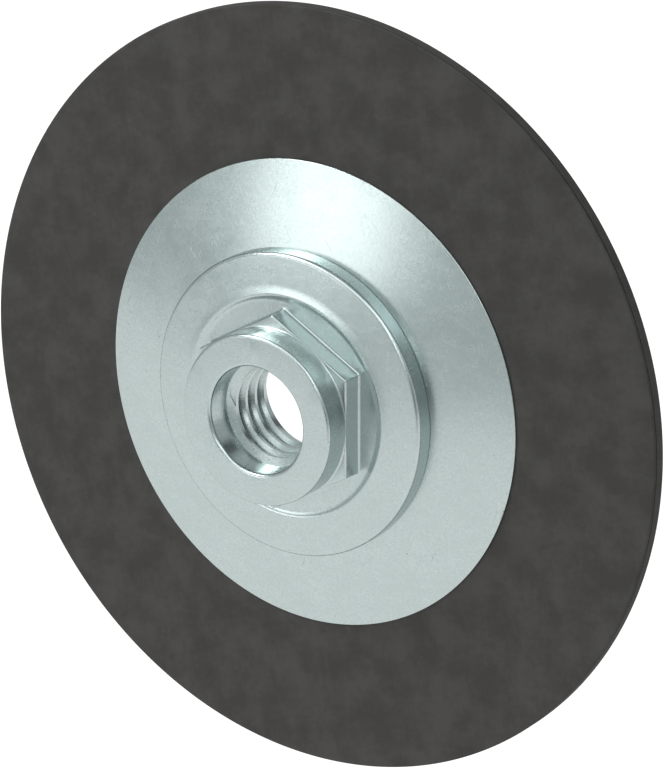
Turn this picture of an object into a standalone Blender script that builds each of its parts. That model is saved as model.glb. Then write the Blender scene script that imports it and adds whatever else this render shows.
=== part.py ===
"""Hub-mounted diamond grinding wheel, 4 1/2 in, for a 5/8-11 grinder spindle.

The wheel stands upright with its axis along Y. The hub points towards -Y, the side the
grinder is on, and the diamond pads face +Y. The origin is on the axis, in the end face of
the hub's collar, which seats on the spindle's shoulder. Heights below are along the axis,
measured from the back of the wheel plate and positive towards the hub.
"""

import math

import bmesh
import bpy
from mathutils import Matrix

MM = 0.001

# Facets in one turn of every round piece, and steps in the small rounds of its profile.
FACETS = 60
ROUND_STEPS = 3
RIM_STEPS = 2
# Edges that turn more than this are shaded sharp.
SHARP_EDGE = math.radians(30)
# Clearance between pieces that rest on each other, and around the hub's spigot.
SEAT_GAP = 0.2 * MM

# Wheel plate: fibre facing, glass cloth, bonded core, glass cloth, pad carrier.
WHEEL_DIAMETER = 114.3 * MM
FACING_THICKNESS = 0.35 * MM
CORE_THICKNESS = 1.65 * MM
CLOTH_THICKNESS = 0.25 * MM
CLOTH_SETBACK = 2.2 * MM
CARRIER_THICKNESS = 0.5 * MM
CARRIER_SETBACK = 0.85 * MM
CENTRE_RISE = 1.35 * MM
RIM_ROUND = 0.15 * MM

# Diamond pads, in two rows on the carrier.
PAD_HEIGHT = 1.9 * MM
PAD_SETBACK = 1.9 * MM
PAD_LANE = 2.2 * MM
PAD_CHAMFER = 0.9 * MM
OUTER_PADS = 18
INNER_PADS = 14
PAD_STEPS = 4
PAD_CORNER = math.radians(45)

# Back flange: a coined steel cone that bears on the plate near its rim.
FLANGE_DIAMETER = 69.9 * MM
FLANGE_THICKNESS = 1.0 * MM
FLANGE_EDGE = 0.1 * MM
FLANGE_TUCK = 0.5 * MM
CONE_CLEARANCE = 0.4 * MM

# Blotters: fibre washers under both flanges.
BLOTTER_THICKNESS = 0.4 * MM
BACK_BLOTTER_SETBACK = 0.8 * MM
FRONT_BLOTTER_SETBACK = 0.3 * MM

# Front flange: a pressed washer sunk in the dished centre, just inside the centre's flat.
FRONT_FLANGE_SETBACK = 0.7 * MM
FRONT_FLANGE_THICKNESS = 1.0 * MM
FRONT_FLANGE_ROUND = 0.3 * MM

# Hub nut, from its clamping flange up to the collar.
HUB_FLANGE_DIAMETER = 45.4 * MM
HUB_FLANGE_EDGE = 2.5 * MM
HUB_FLANGE_ROUND = 0.8 * MM
HUB_CROWN = 0.8 * MM
CROWN_ANGLE = 80
DISH_MARGIN = 0.94 * MM
DISH_WALL = 1.1 * MM
DISH_DEPTH = 0.3 * MM
HEX_ACROSS_FLATS = 25.4 * MM
HEX_HEIGHT = 3.2 * MM
HEX_CHAMFER = 0.3 * MM
HEX_FILLET = 0.4 * MM
COLLAR_RELIEF = 0.1 * MM
COLLAR_HEIGHT = 4.1 * MM
COLLAR_ROUND = 0.7 * MM

# Hub bore: counterbore, 5/8-11 thread at its minor diameter, plain run-out.
THREAD_MAJOR = 15.875 * MM
THREAD_MINOR = 13.6 * MM
THREAD_LENGTH = 8.25 * MM
BORE_RELIEF = 0.1 * MM
COUNTERBORE_DEPTH = 4.1 * MM
MOUTH_ROUND = 0.5 * MM
RUN_OUT = 1.65 * MM
BORE_OVERRUN = 4.0 * MM

# Spigot through the plate, riveted over the front flange.
SPIGOT_DIAMETER = 21.8 * MM
RIVET_WALL = 1.2 * MM
RIVET_LIP = 2.1 * MM
RIVET_THICKNESS = 0.8 * MM
RIVET_FLARE = 0.4 * MM
BUSH_WALL = 0.6 * MM

# Radii that several pieces share.
WHEEL_RADIUS = WHEEL_DIAMETER / 2
FLANGE_RADIUS = FLANGE_DIAMETER / 2
HUB_FLANGE_RADIUS = HUB_FLANGE_DIAMETER / 2
SPIGOT_RADIUS = SPIGOT_DIAMETER / 2
HALF_SIDE = math.pi / 6
HEX_CORNER_RADIUS = HEX_ACROSS_FLATS / 2 / math.cos(HALF_SIDE)
BUSH_BORE = SPIGOT_RADIUS + SEAT_GAP
BUSH_RADIUS = BUSH_BORE + BUSH_WALL
PLATE_BORE = BUSH_RADIUS + SEAT_GAP
CONE_TOP = HUB_FLANGE_RADIUS - FLANGE_TUCK
FRONT_FLANGE_RADIUS = CONE_TOP - FRONT_FLANGE_SETBACK

# Heights of the wheel plate's layers at the rim; the centre stands CENTRE_RISE higher.
FACING_BACK = 0.0
FACING_FRONT = FACING_BACK - FACING_THICKNESS
CORE_BACK = FACING_FRONT - SEAT_GAP
CORE_FRONT = CORE_BACK - CORE_THICKNESS
CLOTH_POCKET = CLOTH_THICKNESS + SEAT_GAP
CARRIER_BACK = CORE_FRONT - SEAT_GAP
CARRIER_FRONT = CARRIER_BACK - CARRIER_THICKNESS
PAD_BACK = CARRIER_FRONT - SEAT_GAP
PAD_FRONT = PAD_BACK - PAD_HEIGHT

# Heights of the clamped stack at the centre, hub side then grinding side.
BACK_BLOTTER_FRONT = FACING_BACK + CENTRE_RISE + SEAT_GAP
BACK_BLOTTER_BACK = BACK_BLOTTER_FRONT + BLOTTER_THICKNESS
FLANGE_FRONT = BACK_BLOTTER_BACK + SEAT_GAP
FLANGE_BACK = FLANGE_FRONT + FLANGE_THICKNESS
HUB_SEAT = FLANGE_BACK + SEAT_GAP
FRONT_BLOTTER_BACK = CORE_FRONT + CENTRE_RISE - SEAT_GAP
FRONT_BLOTTER_FRONT = FRONT_BLOTTER_BACK - BLOTTER_THICKNESS
FRONT_FLANGE_BACK = FRONT_BLOTTER_FRONT - SEAT_GAP
FRONT_FLANGE_FRONT = FRONT_FLANGE_BACK - FRONT_FLANGE_THICKNESS
RIVET_BACK = FRONT_FLANGE_FRONT - SEAT_GAP
RIVET_FRONT = RIVET_BACK - RIVET_THICKNESS

# Heights of the hub nut's faces.
HUB_EDGE_TOP = HUB_SEAT + HUB_FLANGE_EDGE
CROWN_TOP = HUB_EDGE_TOP + HUB_CROWN
DISH_FLOOR = CROWN_TOP - DISH_DEPTH
HEX_TOP = DISH_FLOOR + HEX_HEIGHT
COLLAR_TOP = HEX_TOP + COLLAR_HEIGHT
THREAD_BACK = COLLAR_TOP - COUNTERBORE_DEPTH
THREAD_FRONT = THREAD_BACK - THREAD_LENGTH
RUN_OUT_FRONT = THREAD_FRONT - RUN_OUT

# The flange cone falls from its flat to its edge, and its underside flattens on the plate.
FLANGE_EDGE_BACK = FACING_BACK + SEAT_GAP + FLANGE_EDGE
FLANGE_SLOPE = (FLANGE_BACK - FLANGE_EDGE_BACK) / (FLANGE_RADIUS - CONE_TOP)
FLANGE_LAND = FLANGE_RADIUS - (FLANGE_THICKNESS - FLANGE_EDGE) / FLANGE_SLOPE
PLATE_CONE_FOOT = FLANGE_LAND - CONE_CLEARANCE
CARRIER_OUTER = WHEEL_RADIUS - CARRIER_SETBACK
CARRIER_INNER = PLATE_CONE_FOOT + CARRIER_SETBACK


def clear_scene():
    for item in list(bpy.data.objects):
        bpy.data.objects.remove(item, do_unlink=True)


def new_collection(name):
    collection = bpy.data.collections.new(name)
    bpy.context.scene.collection.children.link(collection)
    return collection


def finish_material(name, colour, roughness, metallic):
    material = bpy.data.materials.new(name)
    material.use_nodes = True
    shader = material.node_tree.nodes["Principled BSDF"]
    shader.inputs["Base Color"].default_value = (*colour, 1.0)
    shader.inputs["Roughness"].default_value = roughness
    shader.inputs["Metallic"].default_value = metallic
    return material


def arc(centre_r, centre_h, radius, start, end, steps):
    """Points of a round between two directions, in degrees from the radial direction."""
    points = []
    for k in range(steps + 1):
        turn = math.radians(start + (end - start) * k / steps)
        points.append((centre_r + radius * math.cos(turn), centre_h + radius * math.sin(turn)))
    return points


def turned(name, profile, material, collection, sides=FACETS):
    """A solid of revolution about the wheel's axis, or a prism if it has few sides.

    The profile is (radius, height) points: down the outer side, then up the inner side.
    """
    mesh = bpy.data.meshes.new(name)
    shape = bmesh.new()
    corners = [shape.verts.new((radius, 0.0, height)) for radius, height in profile]
    for first, second in zip(corners, corners[1:] + corners[:1]):
        if first.co.x > 0.0 or second.co.x > 0.0:
            shape.edges.new((first, second))
    shape.to_mesh(mesh)
    shape.free()
    piece = bpy.data.objects.new(name, mesh)
    piece.data.materials.append(material)
    collection.objects.link(piece)
    screw = piece.modifiers.new("turn", "SCREW")
    screw.axis = "Z"
    screw.angle = math.tau
    screw.steps = sides
    screw.render_steps = sides
    screw.use_merge_vertices = True
    screw.merge_threshold = 0.000001
    screw.use_smooth_shade = False
    piece.parent = wheel_axis
    return piece


def shade_round(piece):
    """Keep the modifiers' result as the mesh, shaded smooth except across its sharp edges."""
    evaluated = piece.evaluated_get(bpy.context.evaluated_depsgraph_get())
    mesh = bpy.data.meshes.new_from_object(evaluated)
    mesh.name = piece.name
    mesh.shade_smooth()
    mesh.set_sharp_from_angle(angle=SHARP_EDGE)
    piece.modifiers.clear()
    piece.data = mesh


def hide_cutter(piece):
    piece.hide_render = True
    piece.display_type = "WIRE"


def boolean(piece, operation, tool):
    cut = piece.modifiers.new(operation.lower(), "BOOLEAN")
    cut.operation = operation
    cut.solver = "EXACT"
    cut.object = tool


def plate_profile(outer_radius, inner_radius, back, thickness):
    """A layer of the plate: flat at the rim, a cone, then flat and higher at the centre."""
    front = back - thickness
    return [
        (CONE_TOP, back + CENTRE_RISE),
        (PLATE_CONE_FOOT, back),
        (outer_radius, back),
        (outer_radius, front),
        (PLATE_CONE_FOOT, front),
        (CONE_TOP, front + CENTRE_RISE),
        (inner_radius, front + CENTRE_RISE),
        (inner_radius, back + CENTRE_RISE),
    ]


def build_facing(material, collection):
    """Dark vulcanised fibre sheet on the back of the plate, with its rim edge rounded."""
    profile = plate_profile(WHEEL_RADIUS, PLATE_BORE, FACING_BACK, FACING_THICKNESS)
    outer_corner = 2
    rounded_rim = arc(WHEEL_RADIUS - RIM_ROUND, FACING_BACK - RIM_ROUND, RIM_ROUND, 90, 0, RIM_STEPS)
    profile[outer_corner:outer_corner + 1] = rounded_rim
    turned("back_facing", profile, material, collection)


def build_core(material, collection):
    """Bonded core, with a pocket in each face where the glass cloth lies."""
    pocket = WHEEL_RADIUS - CLOTH_SETBACK + SEAT_GAP
    back_floor = CORE_BACK - CLOTH_POCKET
    front_floor = CORE_FRONT + CLOTH_POCKET
    profile = [
        (CONE_TOP, back_floor + CENTRE_RISE),
        (PLATE_CONE_FOOT, back_floor),
        (pocket, back_floor),
        (pocket, CORE_BACK),
        (WHEEL_RADIUS, CORE_BACK),
        (WHEEL_RADIUS, CORE_FRONT),
        (pocket, CORE_FRONT),
        (pocket, front_floor),
        (PLATE_CONE_FOOT, front_floor),
        (CONE_TOP, front_floor + CENTRE_RISE),
        (PLATE_BORE, front_floor + CENTRE_RISE),
        (PLATE_BORE, back_floor + CENTRE_RISE),
    ]
    turned("core_plate", profile, material, collection)


def build_cloth(name, back, material, collection):
    """Woven glass cloth, cut smaller than the wheel so that its edge is buried."""
    profile = plate_profile(WHEEL_RADIUS - CLOTH_SETBACK, PLATE_BORE, back, CLOTH_THICKNESS)
    turned(name, profile, material, collection)


def build_carrier(material, collection):
    """Flat fibre ring that the diamond pads are bonded to."""
    profile = [
        (CARRIER_OUTER, CARRIER_BACK),
        (CARRIER_OUTER, CARRIER_FRONT),
        (CARRIER_INNER, CARRIER_FRONT),
        (CARRIER_INNER, CARRIER_BACK),
    ]
    turned("pad_carrier", profile, material, collection)


def pad_mesh(name, inner_radius, outer_radius, count):
    """One pad: a rectangle spun through its share of the row, with chamfered corners."""
    middle = (inner_radius + outer_radius) / 2
    share = math.tau / count - PAD_LANE / middle
    mesh = bpy.data.meshes.new(name)
    shape = bmesh.new()
    corners = [
        shape.verts.new((inner_radius, 0.0, PAD_FRONT)),
        shape.verts.new((outer_radius, 0.0, PAD_FRONT)),
        shape.verts.new((outer_radius, 0.0, PAD_BACK)),
        shape.verts.new((inner_radius, 0.0, PAD_BACK)),
    ]
    end_face = shape.faces.new(corners)
    start = Matrix.Rotation(-share / 2, 3, "Z")
    bmesh.ops.rotate(shape, verts=corners, cent=(0, 0, 0), matrix=start)
    section = [end_face, *end_face.edges, *corners]
    bmesh.ops.spin(shape, geom=section, cent=(0, 0, 0), axis=(0, 0, 1), angle=share, steps=PAD_STEPS)
    bmesh.ops.recalc_face_normals(shape, faces=shape.faces)
    upright = [edge for edge in shape.edges if is_pad_corner(edge)]
    bmesh.ops.bevel(
        shape, geom=upright, offset=PAD_CHAMFER, segments=1, profile=0.5, affect="EDGES", material=-1
    )
    shape.to_mesh(mesh)
    shape.free()
    return mesh


def is_pad_corner(edge):
    """Whether an edge runs along the axis at a corner of the pad's outline."""
    first, second = edge.verts
    upright = abs(first.co.z - second.co.z) > PAD_HEIGHT / 2
    return upright and edge.calc_face_angle() > PAD_CORNER


def build_pad_row(row, count, inner_radius, outer_radius, first_turn, material, collection):
    """A row of diamond pads; every pad is a piece of its own on one shared mesh."""
    mesh = pad_mesh("diamond_pad_" + row, inner_radius, outer_radius, count)
    mesh.materials.append(material)
    mesh.shade_smooth()
    mesh.set_sharp_from_angle(angle=SHARP_EDGE)
    for k in range(count):
        pad = bpy.data.objects.new(f"diamond_pad_{row}_{k + 1:02d}", mesh)
        pad.rotation_euler = (0.0, 0.0, first_turn + math.tau * k / count)
        pad.parent = wheel_axis
        collection.objects.link(pad)


def build_pads(material, collection):
    outermost = CARRIER_OUTER - PAD_SETBACK
    innermost = CARRIER_INNER + PAD_SETBACK
    width = (outermost - innermost - PAD_LANE) / 2
    top = math.pi / 2
    half_step = math.pi / INNER_PADS
    build_pad_row("outer", OUTER_PADS, outermost - width, outermost, top, material, collection)
    build_pad_row("inner", INNER_PADS, innermost, innermost + width, top + half_step, material, collection)


def build_back_flange(material, collection):
    """Steel cone, flat under the hub, that spreads the clamp load towards the rim."""
    profile = [
        (CONE_TOP, FLANGE_BACK),
        (FLANGE_RADIUS, FLANGE_EDGE_BACK),
        (FLANGE_RADIUS, FLANGE_EDGE_BACK - FLANGE_EDGE),
        (FLANGE_LAND, FLANGE_EDGE_BACK - FLANGE_EDGE),
        (CONE_TOP, FLANGE_FRONT),
        (BUSH_BORE, FLANGE_FRONT),
        (BUSH_BORE, FLANGE_BACK),
    ]
    turned("back_flange", profile, material, collection)


def build_blotter(name, back, outer_radius, material, collection):
    """Soft washer that evens out the pressure of a flange on the plate."""
    front = back - BLOTTER_THICKNESS
    profile = [
        (outer_radius, back),
        (outer_radius, front),
        (BUSH_BORE, front),
        (BUSH_BORE, back),
    ]
    turned(name, profile, material, collection)


def build_front_flange(material, collection):
    """Pressed steel washer on the grinding side, its outer edge rounded off."""
    centre_r = FRONT_FLANGE_RADIUS - FRONT_FLANGE_ROUND
    centre_h = FRONT_FLANGE_FRONT + FRONT_FLANGE_ROUND
    profile = [
        (FRONT_FLANGE_RADIUS, FRONT_FLANGE_BACK),
        *arc(centre_r, centre_h, FRONT_FLANGE_ROUND, 0, -90, RIM_STEPS),
        (BUSH_BORE, FRONT_FLANGE_FRONT),
        (BUSH_BORE, FRONT_FLANGE_BACK),
    ]
    turned("front_flange", profile, material, collection)


def build_bush(material, collection):
    """Rolled steel ring that lines the plate's bore, as long as the plate is thick."""
    top = FACING_BACK + CENTRE_RISE
    bottom = CORE_FRONT + CENTRE_RISE
    profile = [(BUSH_RADIUS, top), (BUSH_RADIUS, bottom), (BUSH_BORE, bottom), (BUSH_BORE, top)]
    turned("arbor_bush", profile, material, collection)


def build_hub_nut(material, collection, cutters):
    """Forged hub: round collar, hexagon, crowned clamping flange and riveted spigot."""
    hub = turned("hub_nut", hub_outline(), material, collection)
    bore = turned("hub_bore", bore_outline(), material, cutters)
    hide_cutter(bore)
    hexagon = build_hexagon(material, cutters)
    boolean(hub, "UNION", hexagon)
    boolean(hub, "DIFFERENCE", bore)


def hub_outline():
    """The hub's solid half-section, from the collar's face to the riveted lip."""
    collar = HEX_ACROSS_FLATS / 2 - COLLAR_RELIEF
    dish_floor = HEX_CORNER_RADIUS + DISH_MARGIN
    crown_round = HUB_FLANGE_RADIUS - HUB_FLANGE_ROUND
    lip_round = RIVET_THICKNESS / 2
    lip_centre = SPIGOT_RADIUS + RIVET_LIP - lip_round
    return [
        (0.0, COLLAR_TOP),
        *arc(collar - COLLAR_ROUND, COLLAR_TOP - COLLAR_ROUND, COLLAR_ROUND, 90, 0, ROUND_STEPS),
        (collar, DISH_FLOOR),
        (dish_floor, DISH_FLOOR),
        (dish_floor + DISH_WALL, CROWN_TOP),
        *arc(crown_round, HUB_EDGE_TOP - HUB_FLANGE_ROUND, HUB_FLANGE_ROUND, CROWN_ANGLE, 0, ROUND_STEPS),
        (HUB_FLANGE_RADIUS, HUB_SEAT),
        (SPIGOT_RADIUS, HUB_SEAT),
        (SPIGOT_RADIUS, RIVET_BACK),
        *arc(lip_centre, RIVET_BACK - lip_round, lip_round, 90, -90, ROUND_STEPS + 1),
        (0.0, RIVET_FRONT),
    ]


def bore_outline():
    """The hub's bore: rounded mouth, counterbore, thread, run-out and flared rivet end."""
    mouth = THREAD_MAJOR / 2 + BORE_RELIEF
    thread = THREAD_MINOR / 2
    rivet_bore = SPIGOT_RADIUS - RIVET_WALL
    rivet_mouth = SPIGOT_RADIUS + RIVET_FLARE
    return [
        (0.0, COLLAR_TOP + BORE_OVERRUN),
        (mouth + MOUTH_ROUND, COLLAR_TOP + BORE_OVERRUN),
        *arc(mouth + MOUTH_ROUND, COLLAR_TOP - MOUTH_ROUND, MOUTH_ROUND, 90, 180, ROUND_STEPS),
        (mouth, THREAD_BACK),
        (thread, THREAD_BACK - (mouth - thread)),
        (thread, THREAD_FRONT),
        (mouth, THREAD_FRONT),
        (mouth, RUN_OUT_FRONT),
        (rivet_bore, RUN_OUT_FRONT),
        (rivet_bore, FRONT_FLANGE_FRONT + RIVET_THICKNESS / 2),
        (rivet_bore + RIVET_FLARE, RIVET_BACK),
        (rivet_mouth, RIVET_FRONT),
        (rivet_mouth, RIVET_FRONT - BORE_OVERRUN),
        (0.0, RIVET_FRONT - BORE_OVERRUN),
    ]


def build_hexagon(material, cutters):
    """Hexagon for a spanner, points up and down, chamfered above and filleted into the dish."""
    corner_chamfer = HEX_CHAMFER / math.cos(HALF_SIDE)
    corner_fillet = HEX_FILLET / math.cos(HALF_SIDE)
    root = HUB_SEAT + HUB_FLANGE_EDGE / 2
    outline = [
        (0.0, HEX_TOP),
        (HEX_CORNER_RADIUS - corner_chamfer, HEX_TOP),
        (HEX_CORNER_RADIUS, HEX_TOP - HEX_CHAMFER),
        (HEX_CORNER_RADIUS, DISH_FLOOR + HEX_FILLET),
        (HEX_CORNER_RADIUS + corner_fillet, DISH_FLOOR),
        (HEX_CORNER_RADIUS + corner_fillet, root),
        (0.0, root),
    ]
    hexagon = turned("hub_hexagon", outline, material, cutters, sides=6)
    hexagon.rotation_euler = (0.0, 0.0, HALF_SIDE)
    hide_cutter(hexagon)
    return hexagon


clear_scene()
wheel = new_collection("diamond_grinding_wheel")
cutters = new_collection("cutters")

wheel_axis = bpy.data.objects.new("wheel_axis", None)
wheel_axis.location = (0.0, COLLAR_TOP, 0.0)
wheel_axis.rotation_euler = (math.pi / 2, 0.0, 0.0)
wheel.objects.link(wheel_axis)

zinc = finish_material("zinc_plate", (0.52, 0.57, 0.56), 0.32, 1.0)
fibre = finish_material("dark_fibre", (0.07, 0.069, 0.065), 0.75, 0.0)
bond = finish_material("resin_bond", (0.055, 0.055, 0.052), 0.85, 0.0)
glass = finish_material("glass_cloth", (0.62, 0.55, 0.36), 0.6, 0.0)
blotter_fibre = finish_material("blotter_fibre", (0.3, 0.27, 0.2), 0.9, 0.0)
bush_steel = finish_material("bush_steel", (0.45, 0.46, 0.46), 0.4, 1.0)
diamond_bond = finish_material("diamond_bond", (0.26, 0.2, 0.11), 0.7, 0.2)

build_hub_nut(zinc, wheel, cutters)
build_back_flange(zinc, wheel)
build_blotter("back_blotter", BACK_BLOTTER_BACK, CONE_TOP - BACK_BLOTTER_SETBACK, blotter_fibre, wheel)
build_bush(bush_steel, wheel)
build_facing(fibre, wheel)
build_cloth("back_glass_cloth", CORE_BACK, glass, wheel)
build_core(bond, wheel)
build_cloth("front_glass_cloth", CORE_FRONT + CLOTH_THICKNESS, glass, wheel)
build_carrier(fibre, wheel)
build_blotter("front_blotter", FRONT_BLOTTER_BACK, CONE_TOP - FRONT_BLOTTER_SETBACK, blotter_fibre, wheel)
build_front_flange(zinc, wheel)
for piece in wheel.objects:
    if piece.type == "MESH":
        shade_round(piece)
build_pads(diamond_bond, wheel)
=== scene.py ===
"""Looks of a hub-mounted diamond grinding wheel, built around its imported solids.

The wheel stands upright with its axis along Y. The hub faces -Y, the diamond pads face +Y,
and y = 0 is the end face of the hub's collar.
"""

import math
import random

import bmesh
import bpy
from mathutils import Matrix, Vector, noise


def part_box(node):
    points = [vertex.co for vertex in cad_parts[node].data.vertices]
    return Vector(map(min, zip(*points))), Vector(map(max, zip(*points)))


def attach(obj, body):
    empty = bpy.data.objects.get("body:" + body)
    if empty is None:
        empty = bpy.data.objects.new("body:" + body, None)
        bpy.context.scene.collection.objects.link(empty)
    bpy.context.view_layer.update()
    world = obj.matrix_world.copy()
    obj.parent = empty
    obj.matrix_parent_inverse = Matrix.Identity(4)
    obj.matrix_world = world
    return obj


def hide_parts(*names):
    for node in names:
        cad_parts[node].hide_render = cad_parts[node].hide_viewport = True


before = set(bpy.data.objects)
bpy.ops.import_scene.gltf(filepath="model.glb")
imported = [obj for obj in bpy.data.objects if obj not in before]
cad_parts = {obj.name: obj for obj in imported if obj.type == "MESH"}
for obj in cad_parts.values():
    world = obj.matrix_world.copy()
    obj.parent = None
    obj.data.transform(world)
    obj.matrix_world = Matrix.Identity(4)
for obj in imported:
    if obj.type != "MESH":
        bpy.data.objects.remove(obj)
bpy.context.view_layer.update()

# --- Camera -----------------------------------------------------------------------------
# A long lens above and to the right of the hub side, looking down at the wheel's middle.
# Azimuths are in degrees to the right of the hub's direction.
MM = 0.001
FACING_THICKNESS = 0.35 * MM
CAMERA_AZIMUTH = 34.32
CAMERA_ELEVATION = 19.49
CAMERA_DISTANCE = 568.42 * MM
CAMERA_SIDEWAYS = 3.236 * MM
CAMERA_UPWARDS = 1.412 * MM
CAMERA_LENS = 184.7
SENSOR = 36.0


def aimed(azimuth, elevation):
    """The turn of a camera or lamp that looks in from this direction."""
    upright = Matrix.Rotation(math.radians(90 - elevation), 3, "X")
    return Matrix.Rotation(math.radians(azimuth), 3, "Z") @ upright


plate_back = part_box("back_facing")[1].y - FACING_THICKNESS
turn = aimed(CAMERA_AZIMUTH, CAMERA_ELEVATION)
camera = bpy.data.objects.new("camera", bpy.data.cameras.new("camera"))
camera.data.lens = CAMERA_LENS
camera.data.sensor_width = SENSOR
camera.data.clip_start = 10 * MM
camera.location = Vector((0.0, plate_back, 0.0)) + turn @ Vector(
    (CAMERA_SIDEWAYS, CAMERA_UPWARDS, CAMERA_DISTANCE)
)
camera.rotation_euler = turn.to_euler()
bpy.context.scene.collection.objects.link(camera)
bpy.context.scene.camera = camera
bpy.context.scene.view_settings.view_transform = "Standard"

# --- Studio -----------------------------------------------------------------------------
# The camera sees a white floor and a white background. The metal mirrors a grey room with
# three dark corners, and seven soft lamps: cards to the left, in front, beside the camera,
# overhead, to the right and behind, and a small lamp close by at the upper left.
FLOOR_RADIUS = 0.9
FLOOR_FRONT = 0.185
FLOOR_GLOW = 1.12
ROOM_GREY = (0.57, 0.60, 0.605)
DARK_CORNER = (0.015, 0.018, 0.02)
DARK_CORNERS = {
    # azimuth, elevation: radius where it is full and where it ends, all in degrees
    (39, 0): (7, 12),
    (25, -8): (5, 11),
    (157, 32): (7, 14),
}


class Shade:
    """A shader socket. Arithmetic on it adds Math nodes, and node() adds any other node."""

    def __init__(self, tree, socket=None):
        self.tree = tree
        self.socket = socket

    def node(self, kind, settings=None, inputs=None, output=0):
        made = self.tree.nodes.new("ShaderNode" + kind)
        for key, value in (settings or {}).items():
            setattr(made, key, value)
        for key, value in (inputs or {}).items():
            if isinstance(value, Shade):
                self.tree.links.new(value.socket, made.inputs[key])
            else:
                made.inputs[key].default_value = value
        return Shade(self.tree, made.outputs[output]) if made.outputs else None

    def math(self, operation, *values):
        return self.node("Math", {"operation": operation}, dict(enumerate(values)))

    def cosine(self):
        return self.math("COSINE", self)

    def __add__(self, other):
        return self.math("ADD", self, other)

    def __radd__(self, other):
        return self.math("ADD", other, self)

    def __sub__(self, other):
        return self.math("SUBTRACT", self, other)

    def __rsub__(self, other):
        return self.math("SUBTRACT", other, self)

    def __mul__(self, other):
        return self.math("MULTIPLY", self, other)

    def __rmul__(self, other):
        return self.math("MULTIPLY", other, self)

    def __truediv__(self, other):
        return self.math("DIVIDE", self, other)

    def rise(self, low, high):
        """0 below low, 1 above high, and smooth between them."""
        return self.node(
            "MapRange",
            {"interpolation_type": "SMOOTHSTEP"},
            {"Value": self, "From Min": low, "From Max": high, "To Min": 0.0, "To Max": 1.0},
        )

    def mix(self, first, second):
        """A colour from first to second as this value goes from 0 to 1."""
        colours = [c if isinstance(c, Shade) else (*c, 1.0) for c in (first, second)]
        inputs = {0: self, 6: colours[0], 7: colours[1]}
        return self.node("Mix", {"data_type": "RGBA"}, inputs, output=2)

    def noise(self, size, detail=2.0, roughness=0.5, stretch=(1.0, 1.0, 1.0)):
        """Noise on this place, with features about size metres wide times stretch."""
        scale = tuple(1.0 / (size * s) for s in stretch)
        place = self.node("VectorMath", {"operation": "MULTIPLY"}, {0: self, 1: scale})
        inputs = {"Vector": place, "Scale": 1.0, "Detail": detail, "Roughness": roughness}
        return place.node("TexNoise", inputs=inputs)

    def turned(self, axis, degrees):
        """This place turned about an axis of the object."""
        inputs = {"Vector": self, "Angle": math.radians(degrees)}
        return self.node("VectorRotate", {"rotation_type": axis + "_AXIS"}, inputs)

    def moved(self, x, y, z):
        return self.node("VectorMath", {"operation": "ADD"}, {0: self, 1: (x, y, z)})


floor_mesh = bpy.data.meshes.new("floor")
shape = bmesh.new()
bmesh.ops.create_circle(shape, cap_ends=True, segments=96, radius=FLOOR_RADIUS)
floor_place = (0.0, FLOOR_RADIUS - FLOOR_FRONT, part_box("back_facing")[0].z)
bmesh.ops.translate(shape, vec=floor_place, verts=shape.verts)
shape.to_mesh(floor_mesh)
shape.free()
floor = bpy.data.objects.new("floor", floor_mesh)
bpy.context.scene.collection.objects.link(floor)
floor_finish = bpy.data.materials.new("floor_white")
floor_finish.use_nodes = True
floor_shader = floor_finish.node_tree.nodes["Principled BSDF"]
floor_shader.inputs["Base Color"].default_value = (0.0, 0.0, 0.0, 1.0)
floor_shader.inputs["Roughness"].default_value = 1.0
floor_shader.inputs["Specular IOR Level"].default_value = 0.0
floor_shader.inputs["Emission Color"].default_value = (1.0, 1.0, 1.0, 1.0)
floor_shader.inputs["Emission Strength"].default_value = FLOOR_GLOW
floor_mesh.materials.append(floor_finish)

world = bpy.data.worlds.new("studio")
bpy.context.scene.world = world
world.use_nodes = True
world.node_tree.nodes.clear()
room = Shade(world.node_tree)
seen = room.node("Background", inputs={"Color": (1.0, 1.0, 1.0, 1.0), "Strength": 1.0})
walls = ROOM_GREY
for (azimuth, elevation), (full, outer) in DARK_CORNERS.items():
    direction = room.node("TexCoord", output="Generated")
    inputs = {0: direction, 1: aimed(azimuth, elevation) @ Vector((0.0, 0.0, 1.0))}
    nearness = room.node("VectorMath", {"operation": "DOT_PRODUCT"}, inputs, output="Value")
    inside = nearness.rise(math.cos(math.radians(outer)), math.cos(math.radians(full)))
    walls = inside.mix(walls, DARK_CORNER)
mirrored = room.node("Background", inputs={"Color": walls, "Strength": 1.0})
is_backdrop = room.node("LightPath", output="Is Camera Ray")
surface = room.node("MixShader", inputs={0: is_backdrop, 1: mirrored, 2: seen})
room.node("OutputWorld", inputs={"Surface": surface})

LAMPS = {
    # name: azimuth, elevation, distance, width, height, radiance
    "key_card": (-30, 3.5, 0.9, 0.30, 0.29, 2.3),
    "low_card": (18, 10, 0.8, 0.14, 0.14, 2.6),
    "camera_card": (32, 24, 0.8, 0.16, 0.16, 4.5),
    "overhead_card": (-5, 44, 1.0, 0.70, 0.45, 1.75),
    "side_card": (52, 46, 1.1, 0.60, 0.45, 2.0),
    "back_card": (180, 62, 1.0, 0.90, 0.50, 1.6),
    "near_lamp": (-50, 48, 0.34, 0.12, 0.12, 12.0),
}
LAMP_TINTS = {"overhead_card": (0.96, 0.965, 1.0), "side_card": (0.93, 0.95, 1.0)}
for name, (azimuth, elevation, distance, width, height, radiance) in LAMPS.items():
    lamp = bpy.data.objects.new(name, bpy.data.lights.new(name, "AREA"))
    lamp.data.shape = "RECTANGLE"
    lamp.data.size = width
    lamp.data.size_y = height
    lamp.data.energy = radiance * math.pi * width * height
    lamp.data.color = LAMP_TINTS.get(name, (1.0, 1.0, 1.0))
    aim = aimed(azimuth, elevation)
    lamp.location = aim @ Vector((0.0, 0.0, distance))
    lamp.rotation_euler = aim.to_euler()
    bpy.context.scene.collection.objects.link(lamp)

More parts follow.
